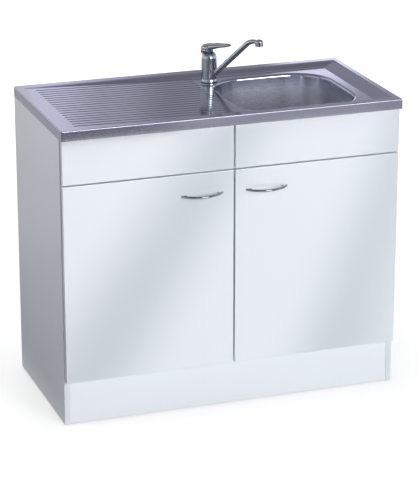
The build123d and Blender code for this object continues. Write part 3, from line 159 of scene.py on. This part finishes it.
def brushed_steel(
    name, colour, grain=(40.0, 1500.0, 1500.0), roughness=(0.10, 0.15), satin_below=None
):
    """Stainless sheet with fine grinding lines, and satin and lighter below a given height."""
    s = Shader(name)
    lines = s.noise(1.0, 3.0, s.stretched(grain))
    clouds = s.noise(9.0, 3.0)
    darker = tuple(value * 0.9 for value in colour)
    tone = s.blend(s.math("MULTIPLY", lines, clouds), colour, darker)
    polish = s.spread(lines, 0.3, 0.7, *roughness)
    if satin_below:
        depth = s.spread(s.axis(2), satin_below, satin_below - SATIN_FADE)
        polish = s.math("ADD", polish, s.math("MULTIPLY", depth, SATIN_ROUGHNESS))
        tone = s.blend(depth, tone, SATIN_STEEL)
    s.set(Base_Color=tone, Metallic=1.0, Roughness=polish, Anisotropic=0.3)
    s.bump(lines, 0.03, 0.0002)
    return s.material


def chrome(name, colour):
    """Mirror plating with faint smears."""
    s = Shader(name)
    smears = s.noise(60.0, 5.0)
    s.set(
        Base_Color=s.blend(smears, colour, tuple(value * 0.94 for value in colour)),
        Metallic=1.0,
        Roughness=s.spread(smears, 0.3, 0.8, 0.03, 0.09),
    )
    s.bump(s.noise(700.0, 2.0), 0.03, 0.0001)
    return s.material


def coated_board(name, low, high, colour, gloss, pebble, coat=0.0):
    """A foil-faced board between two corners: fine texture, and edges worn a little dull."""
    s = Shader(name)
    fine = s.noise(900.0, 2.0)
    broad = s.noise(3.0, 3.0)
    rim = s.math("MULTIPLY", s.edge(low, high, WORN_EDGE), s.spread(s.noise(70.0), 0.35, 0.65))
    clouded = tuple(value * 0.955 for value in colour)
    rubbed = tuple(value * 0.8 for value in colour)
    tone = s.blend(s.math("MULTIPLY", broad, 0.35), colour, clouded)
    worn = s.blend(s.math("MULTIPLY", rim, 0.5), tone, rubbed)
    polish = s.spread(fine, 0.3, 0.7, gloss, gloss + 0.08)
    s.set(
        Base_Color=worn,
        Roughness=s.math("ADD", polish, s.math("MULTIPLY", rim, 0.2)),
        Coat_Weight=coat,
        Coat_Roughness=0.05,
        Coat_IOR=2.5,
    )
    s.bump(fine, pebble, 0.0002)
    return s.material


def plastic(name, colour, roughness=0.42, bump=0.08):
    """Moulded plastic with a fine spark-eroded surface."""
    s = Shader(name)
    fine = s.noise(1400.0, 2.0)
    broad = s.noise(25.0, 3.0)
    s.set(
        Base_Color=s.blend(broad, colour, tuple(value * 0.93 for value in colour)),
        Roughness=s.spread(fine, 0.3, 0.7, roughness - 0.06, roughness + 0.06),
        Subsurface_Weight=0.04,
    )
    s.bump(fine, bump, 0.0002)
    return s.material


def zinc(name, colour):
    """Plated steel with soft crystal patches."""
    s = Shader(name)
    distance, patches = s.cells(160.0)
    tone = s.math("MULTIPLY", s.axis(0, patches), 0.5)
    s.set(
        Base_Color=s.blend(tone, colour, tuple(value * 0.8 for value in colour)),
        Metallic=1.0,
        Roughness=s.spread(s.noise(200.0), 0.3, 0.7, 0.28, 0.45),
    )
    s.bump(distance, 0.05, 0.0002)
    return s.material


def wood(name, colour, dark):
    """Plain sawn wood with its grain along X."""
    s = Shader(name)
    grain = s.noise(1.0, 6.0, s.stretched((4.0, 90.0, 220.0)), 0.6)
    s.set(
        Base_Color=s.blend(s.spread(grain, 0.3, 0.7), colour, dark),
        Roughness=s.spread(grain, 0.3, 0.7, 0.6, 0.75),
    )
    s.bump(grain, 0.25, 0.0006)
    return s.material


def rubber(name, colour):
    """A soft pad or seal with a dusty bloom."""
    s = Shader(name)
    bloom = s.noise(300.0, 4.0)
    s.set(
        Base_Color=s.blend(bloom, colour, tuple(value * 1.25 for value in colour)),
        Roughness=s.spread(bloom, 0.3, 0.7, 0.55, 0.75),
    )
    s.bump(bloom, 0.1, 0.0003)
    return s.material


rim_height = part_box("sink_top")[1][2]
wear(["sink_top"], brushed_steel("sink_steel", STEEL, satin_below=rim_height - SATIN_START))
wear(["strainer_flange", "strainer_basket", "overflow_rosette", "overflow_screw", "waste_screw"],
     brushed_steel("bright_steel", (0.62, 0.62, 0.65), (300.0, 300.0, 300.0), (0.10, 0.20)))
wear(["tap_base", "tap_body", "tap_spout", "spout_aerator", "tap_lever"],
     chrome("tap_chrome", TAP_CHROME))
# The handles' darker plating is painted shade
wear(["handle_left", "handle_right"], chrome("shaded_handle_chrome", SHADED_HANDLE_CHROME))

for name in ("door_left", "door_right", "false_front_left", "false_front_right", "plinth_board"):
    material = coated_board(
        f"gloss_{name}", *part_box(name), FRONT_WHITE, gloss=0.3, pebble=0.02, coat=1.0
    )
    wear([name], material)
for name in ("side_panel_left", "side_panel_right", "bottom_panel", "front_rail", "back_rail",
             "back_panel"):
    material = coated_board(
        f"melamine_{name}", *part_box(name), CARCASS_WHITE, gloss=0.38, pebble=0.10
    )
    wear([name], material)

wear(["drainer_battens", "wood_dowels"],
     wood("batten_wood", (0.66, 0.50, 0.33), (0.48, 0.33, 0.19)))
wear(["cam_fittings", "board_screws", "false_front_screws", "plinth_brackets", "sink_clips",
      "hinge_cup_screws_left", "hinge_cup_screws_right", "handle_screws_left",
      "handle_screws_right", "tap_stud", "tap_clamp_plate", "tap_stud_nut", "lever_pin"],
     zinc("zinc_plate", (0.60, 0.61, 0.62)))
wear(["hinge_cups_left", "hinge_cups_right", "hinge_plates", "hinge_arms"],
     zinc("nickel_plate", (0.66, 0.65, 0.62)))
wear(["waste_body", "trap_inlet_tube", "trap_nuts", "trap_body", "trap_cup", "outlet_pipe",
      "overflow_elbow", "overflow_pipe", "floor_glides", "front_spacers"],
     plastic("white_plastic", (0.80, 0.81, 0.80)))
wear(["tap_cartridge", "cartridge_carrier"], plastic("grey_acetal", (0.45, 0.46, 0.49)))
wear(["lever_plug"], plastic("mark_plastic", (0.05, 0.05, 0.06), 0.25, 0.02))
wear(["door_bumpers_left", "door_bumpers_right"], rubber("clear_pad", (0.60, 0.60, 0.58)))
wear(["strainer_gasket", "tap_gasket"], rubber("black_seal", (0.03, 0.03, 0.03)))


# ---------------------------------------------------------------- stage, light and camera


# Half the floor's side, and the distances from the unit between which it turns from near to far
FLOOR_HALF = 60.0
FLOOR_NEAR, FLOOR_FAR = 1.0, 2.6

# The backdrop's greys from the horizon (0) to straight up (1), and its strength as a light
SKY_GREYS = ((0.0, 1.0), (0.18, 1.0), (0.42, 0.5), (0.65, 0.26), (1.0, 0.26))
SKY_LIGHT = 0.32

# Name, place, the point it faces, side in metres, and watts
LAMPS = (
    ("overhead", (0.2, -0.2, 5.0), (0.0, 0.0, 0.0), 3.6, 150.0),
    ("key", (1.6, -5.0, 2.0), (0.0, 0.0, 0.5), 2.4, 185.0),
    ("fill", (-1.3, -0.1, 2.0), (-0.5, 0.1, 1.0), 0.6, 12.0),
    ("back", (0.6, 5.0, 2.6), (0.0, 0.2, 0.4), 2.4, 120.0),
)

# Directions that a card's greys run along
ACROSS = (1.0, 0.0, 0.0)
INWARDS = (0.0, 1.0, 0.0)
UPWARDS = (0.0, 0.0, 1.0)
SLANTED = (1.0, 0.566, 0.0)

# Tints of the cards
NEUTRAL = (1.0, 1.0, 1.0)
BLUISH = (0.98, 0.99, 1.11)

# Cards on the floor lie this far above it
CARD_LIFT = 0.004


def seen_straight(tree):
    """1 for camera, glossy and see-through rays, 0 for the light that falls on things."""
    path = tree.nodes.new("ShaderNodeLightPath")
    total = path.outputs["Is Camera Ray"]
    for name in ("Is Glossy Ray", "Is Transmission Ray"):
        larger = tree.nodes.new("ShaderNodeMath")
        larger.operation = "MAXIMUM"
        tree.links.new(total, larger.inputs[0])
        tree.links.new(path.outputs[name], larger.inputs[1])
        total = larger.outputs[0]
    return total


def stage_floor():
    """A plain pale floor: white to the eye, softly shaded under the object."""
    half = FLOOR_HALF
    corners = [(-half, -half, 0), (half, -half, 0), (half, half, 0), (-half, half, 0)]
    mesh = bpy.data.meshes.new("floor")
    mesh.from_pydata(corners, [], [(0, 1, 2, 3)])
    floor = bpy.data.objects.new("floor", mesh)
    bpy.context.scene.collection.objects.link(floor)
    s = Shader("pale_floor")
    squares = s.math("ADD", s.math("POWER", s.axis(0), 2.0), s.math("POWER", s.axis(1), 2.0))
    far = s.spread(s.math("SQRT", squares), FLOOR_NEAR, FLOOR_FAR)
    s.tree.nodes.remove(s.surface)
    matt = s.tree.nodes.new("ShaderNodeBsdfDiffuse")
    s.put(matt.inputs["Color"], s.blend(far, (0.45, 0.45, 0.45), (0.3, 0.3, 0.3)))
    glow = s.tree.nodes.new("ShaderNodeEmission")
    brightness = s.spread(far, 0.0, 1.0, 0.56, 0.9)
    s.put(glow.inputs["Strength"], s.math("MULTIPLY", seen_straight(s.tree), brightness))
    both = s.tree.nodes.new("ShaderNodeAddShader")
    s.tree.links.new(matt.outputs[0], both.inputs[0])
    s.tree.links.new(glow.outputs[0], both.inputs[1])
    s.tree.links.new(both.outputs[0], s.tree.nodes["Material Output"].inputs["Surface"])
    mesh.materials.append(s.material)


def white_world():
    """A white backdrop that greys towards the ceiling, and a softer sky for the light it gives."""
    world = bpy.data.worlds.new("studio")
    world.use_nodes = True
    bpy.context.scene.world = world
    tree = world.node_tree
    place = tree.nodes.new("ShaderNodeTexCoord").outputs["Generated"]
    parts = tree.nodes.new("ShaderNodeSeparateXYZ")
    tree.links.new(place, parts.inputs[0])
    ramp = tree.nodes.new("ShaderNodeValToRGB")
    tree.links.new(parts.outputs[2], ramp.inputs[0])
    for height, _ in SKY_GREYS[1:-1]:
        ramp.color_ramp.elements.new(height)
    for element, (_, grey) in zip(ramp.color_ramp.elements, SKY_GREYS):
        element.color = (grey, grey, grey, 1.0)
    strength = tree.nodes.new("ShaderNodeMapRange")
    tree.links.new(seen_straight(tree), strength.inputs["Value"])
    strength.inputs["To Min"].default_value = SKY_LIGHT
    tree.links.new(strength.outputs[0], tree.nodes["Background"].inputs["Strength"])
    tree.links.new(ramp.outputs[0], tree.nodes["Background"].inputs["Color"])


def on_floor(*points):
    """The corners of a card that lies on the floor."""
    return [(x, y, CARD_LIFT) for x, y in points]


def card(name, corners, stops, along=ACROSS, tint=NEUTRAL):
    """A card that shows only as a reflection, with its greys at distances along a direction."""
    mesh = bpy.data.meshes.new(name)
    mesh.from_pydata(corners, [], [tuple(range(len(corners)))])
    piece = bpy.data.objects.new(name, mesh)
    bpy.context.scene.collection.objects.link(piece)
    s = Shader(name)
    first, last = stops[0][0], stops[-1][0]
    terms = [s.math("MULTIPLY", s.axis(index), along[index]) for index in range(3)]
    where = s.math("ADD", s.math("ADD", terms[0], terms[1]), terms[2])
    ramp = s.tree.nodes.new("ShaderNodeValToRGB")
    ramp.color_ramp.interpolation = "EASE"
    s.put(ramp.inputs[0], s.spread(where, first, last))
    for _ in stops[1:-1]:
        ramp.color_ramp.elements.new(0.5)
    for element, (distance, grey) in zip(ramp.color_ramp.elements, stops):
        element.position = (distance - first) / (last - first)
        element.color = (*(grey * value for value in tint), 1.0)
    s.tree.nodes.remove(s.surface)
    glow = s.tree.nodes.new("ShaderNodeEmission")
    s.put(glow.inputs["Color"], ramp.outputs[0])
    s.put(s.tree.nodes["Material Output"].inputs["Surface"], glow.outputs[0])
    mesh.materials.append(s.material)
    piece.visible_camera = False
    piece.visible_diffuse = False
    piece.visible_transmission = False
    piece.visible_shadow = False


def lamp(name, place, target, side, power):
    """A soft box that faces a point, and that reflections don't show."""
    data = bpy.data.lights.new(name, "AREA")
    data.shape = "RECTANGLE"
    data.size = data.size_y = side
    data.energy = power
    light = bpy.data.objects.new(name, data)
    light.location = place
    light.rotation_euler = (Vector(target) - Vector(place)).to_track_quat("-Z", "Y").to_euler()
    light.visible_camera = False
    light.visible_glossy = False
    bpy.context.scene.collection.objects.link(light)


def photo_camera():
    """The camera at the photograph's viewing angle."""
    data = bpy.data.cameras.new("photo_camera")
    data.sensor_width = SENSOR
    data.lens = FOCAL_PX * SENSOR / IMAGE_HEIGHT
    camera = bpy.data.objects.new("photo_camera", data)
    camera.location = EYE
    level = math.cos(PITCH)
    forward = Vector((math.sin(YAW) * level, math.cos(YAW) * level, -math.sin(PITCH)))
    camera.rotation_mode = "QUATERNION"
    camera.rotation_quaternion = forward.to_track_quat("-Z", "Y")
    data.clip_start, data.clip_end = 0.05, 200.0
    bpy.context.scene.collection.objects.link(camera)
    bpy.context.scene.camera = camera


stage_floor()
white_world()
for settings in LAMPS:
    lamp(*settings)

# Glowing cards on the floor before the unit that show only in reflections: their grey bands are
# painted reflections, which give the fronts their soft bands and the skirt its greys
card(
    "front_card",
    on_floor((0.1, -2.9), (3.4, -2.9), (3.4, -0.5), (-0.55, -0.5)),
    ((-1.00, 1.2), (-0.65, 0.05), (-0.38, 0.95), (-0.10, 0.95), (0.14, 0.0), (0.46, 1.0)),
    along=SLANTED,
)
card(
    "front_left_card",
    on_floor((-2.2, -2.9), (0.1, -2.9), (-0.55, -0.5), (-2.2, -0.5)),
    ((-1.6, 0.08), (-1.15, 0.12), (-1.0, 1.0), (-0.85, 0.12), (-0.3, 0.2)),
)
card(
    "far_card",
    on_floor((-3.0, -7.0), (4.0, -7.0), (4.0, -2.9), (-3.0, -2.9)),
    ((0.65, 0.05), (0.92, 0.8), (1.30, 0.42), (1.70, 0.55)),
)

# Glowing cards on the floor at the left that show only in reflections: painted reflections, which
# shade the side panel and the skirt's end
card(
    "left_card",
    on_floor((-4.0, 0.8), (-0.8, 0.8), (-0.8, 5.0), (-4.0, 5.0)),
    ((-2.0, 0.45), (-1.0, 0.5)),
)
card(
    "near_left_card",
    on_floor((-1.3, -0.3), (-0.53, -0.3), (-0.53, 1.3), (-0.8, 1.3), (-0.8, 0.8), (-1.3, 0.8)),
    ((-1.3, 0.45), (-0.85, 0.3), (-0.53, 0.03)),
)

# Glowing cards on the floor at both sides that show only in reflections: their bands are painted
# reflections, which give the plated round pieces their streaks
card(
    "side_card",
    on_floor((-4.5, -2.6), (-2.2, -2.2), (-1.6, 0.8), (-4.5, 0.8)),
    ((-2.4, 0.15), (-1.6, 0.05), (-1.0, 0.7), (-0.4, 0.05), (0.8, 0.1)),
    along=INWARDS,
)
card(
    "right_card",
    on_floor((1.3, -0.5), (4.5, -1.6), (4.5, 2.2), (1.3, 2.2)),
    ((-1.2, 0.05), (0.1, 0.08), (0.5, 0.9), (0.9, 0.08), (2.2, 0.1)),
    along=INWARDS,
)

# A dark glowing card in front, with a bright glowing card before it, both showing only in
# reflections: a painted dark reflection and painted highlights
card(
    "dark_front_card",
    [(-7.0, -6.5, 0.3), (8.0, -6.5, 0.3), (8.0, -6.5, 8.0), (-7.0, -6.5, 8.0)],
    ((0.3, 0.14), (1.6, 0.14), (2.6, 0.5), (8.0, 0.4)),
    along=UPWARDS,
)
card(
    "highlight_card",
    [(0.4, -5.2, 0.9), (2.8, -5.2, 0.9), (2.8, -5.0, 3.2), (0.4, -5.0, 3.2)],
    ((0.4, 7.0), (2.8, 7.0)),
)

# Two glowing cards behind the unit that show only in reflections, which the level parts of the
# sink reflect: painted reflections and a painted highlight band
card(
    "back_card",
    [(-0.2, 1.2, 0.95), (2.4, 1.2, 0.95), (2.4, 1.2, 2.4), (-0.2, 1.2, 2.4)],
    ((-0.12, 0.9), (0.08, 0.6), (0.32, 0.35), (2.4, 0.35)),
    tint=BLUISH,
)
card(
    "low_card",
    [(0.6, 1.18, 0.95), (1.3, 1.18, 0.95), (1.3, 1.18, 1.2), (0.6, 1.18, 1.2)],
    ((0.6, 0.37), (0.75, 1.25), (1.1, 1.25), (1.3, 0.42)),
    tint=BLUISH,
)
photo_camera()
bpy.context.scene.view_settings.view_transform = "Standard"
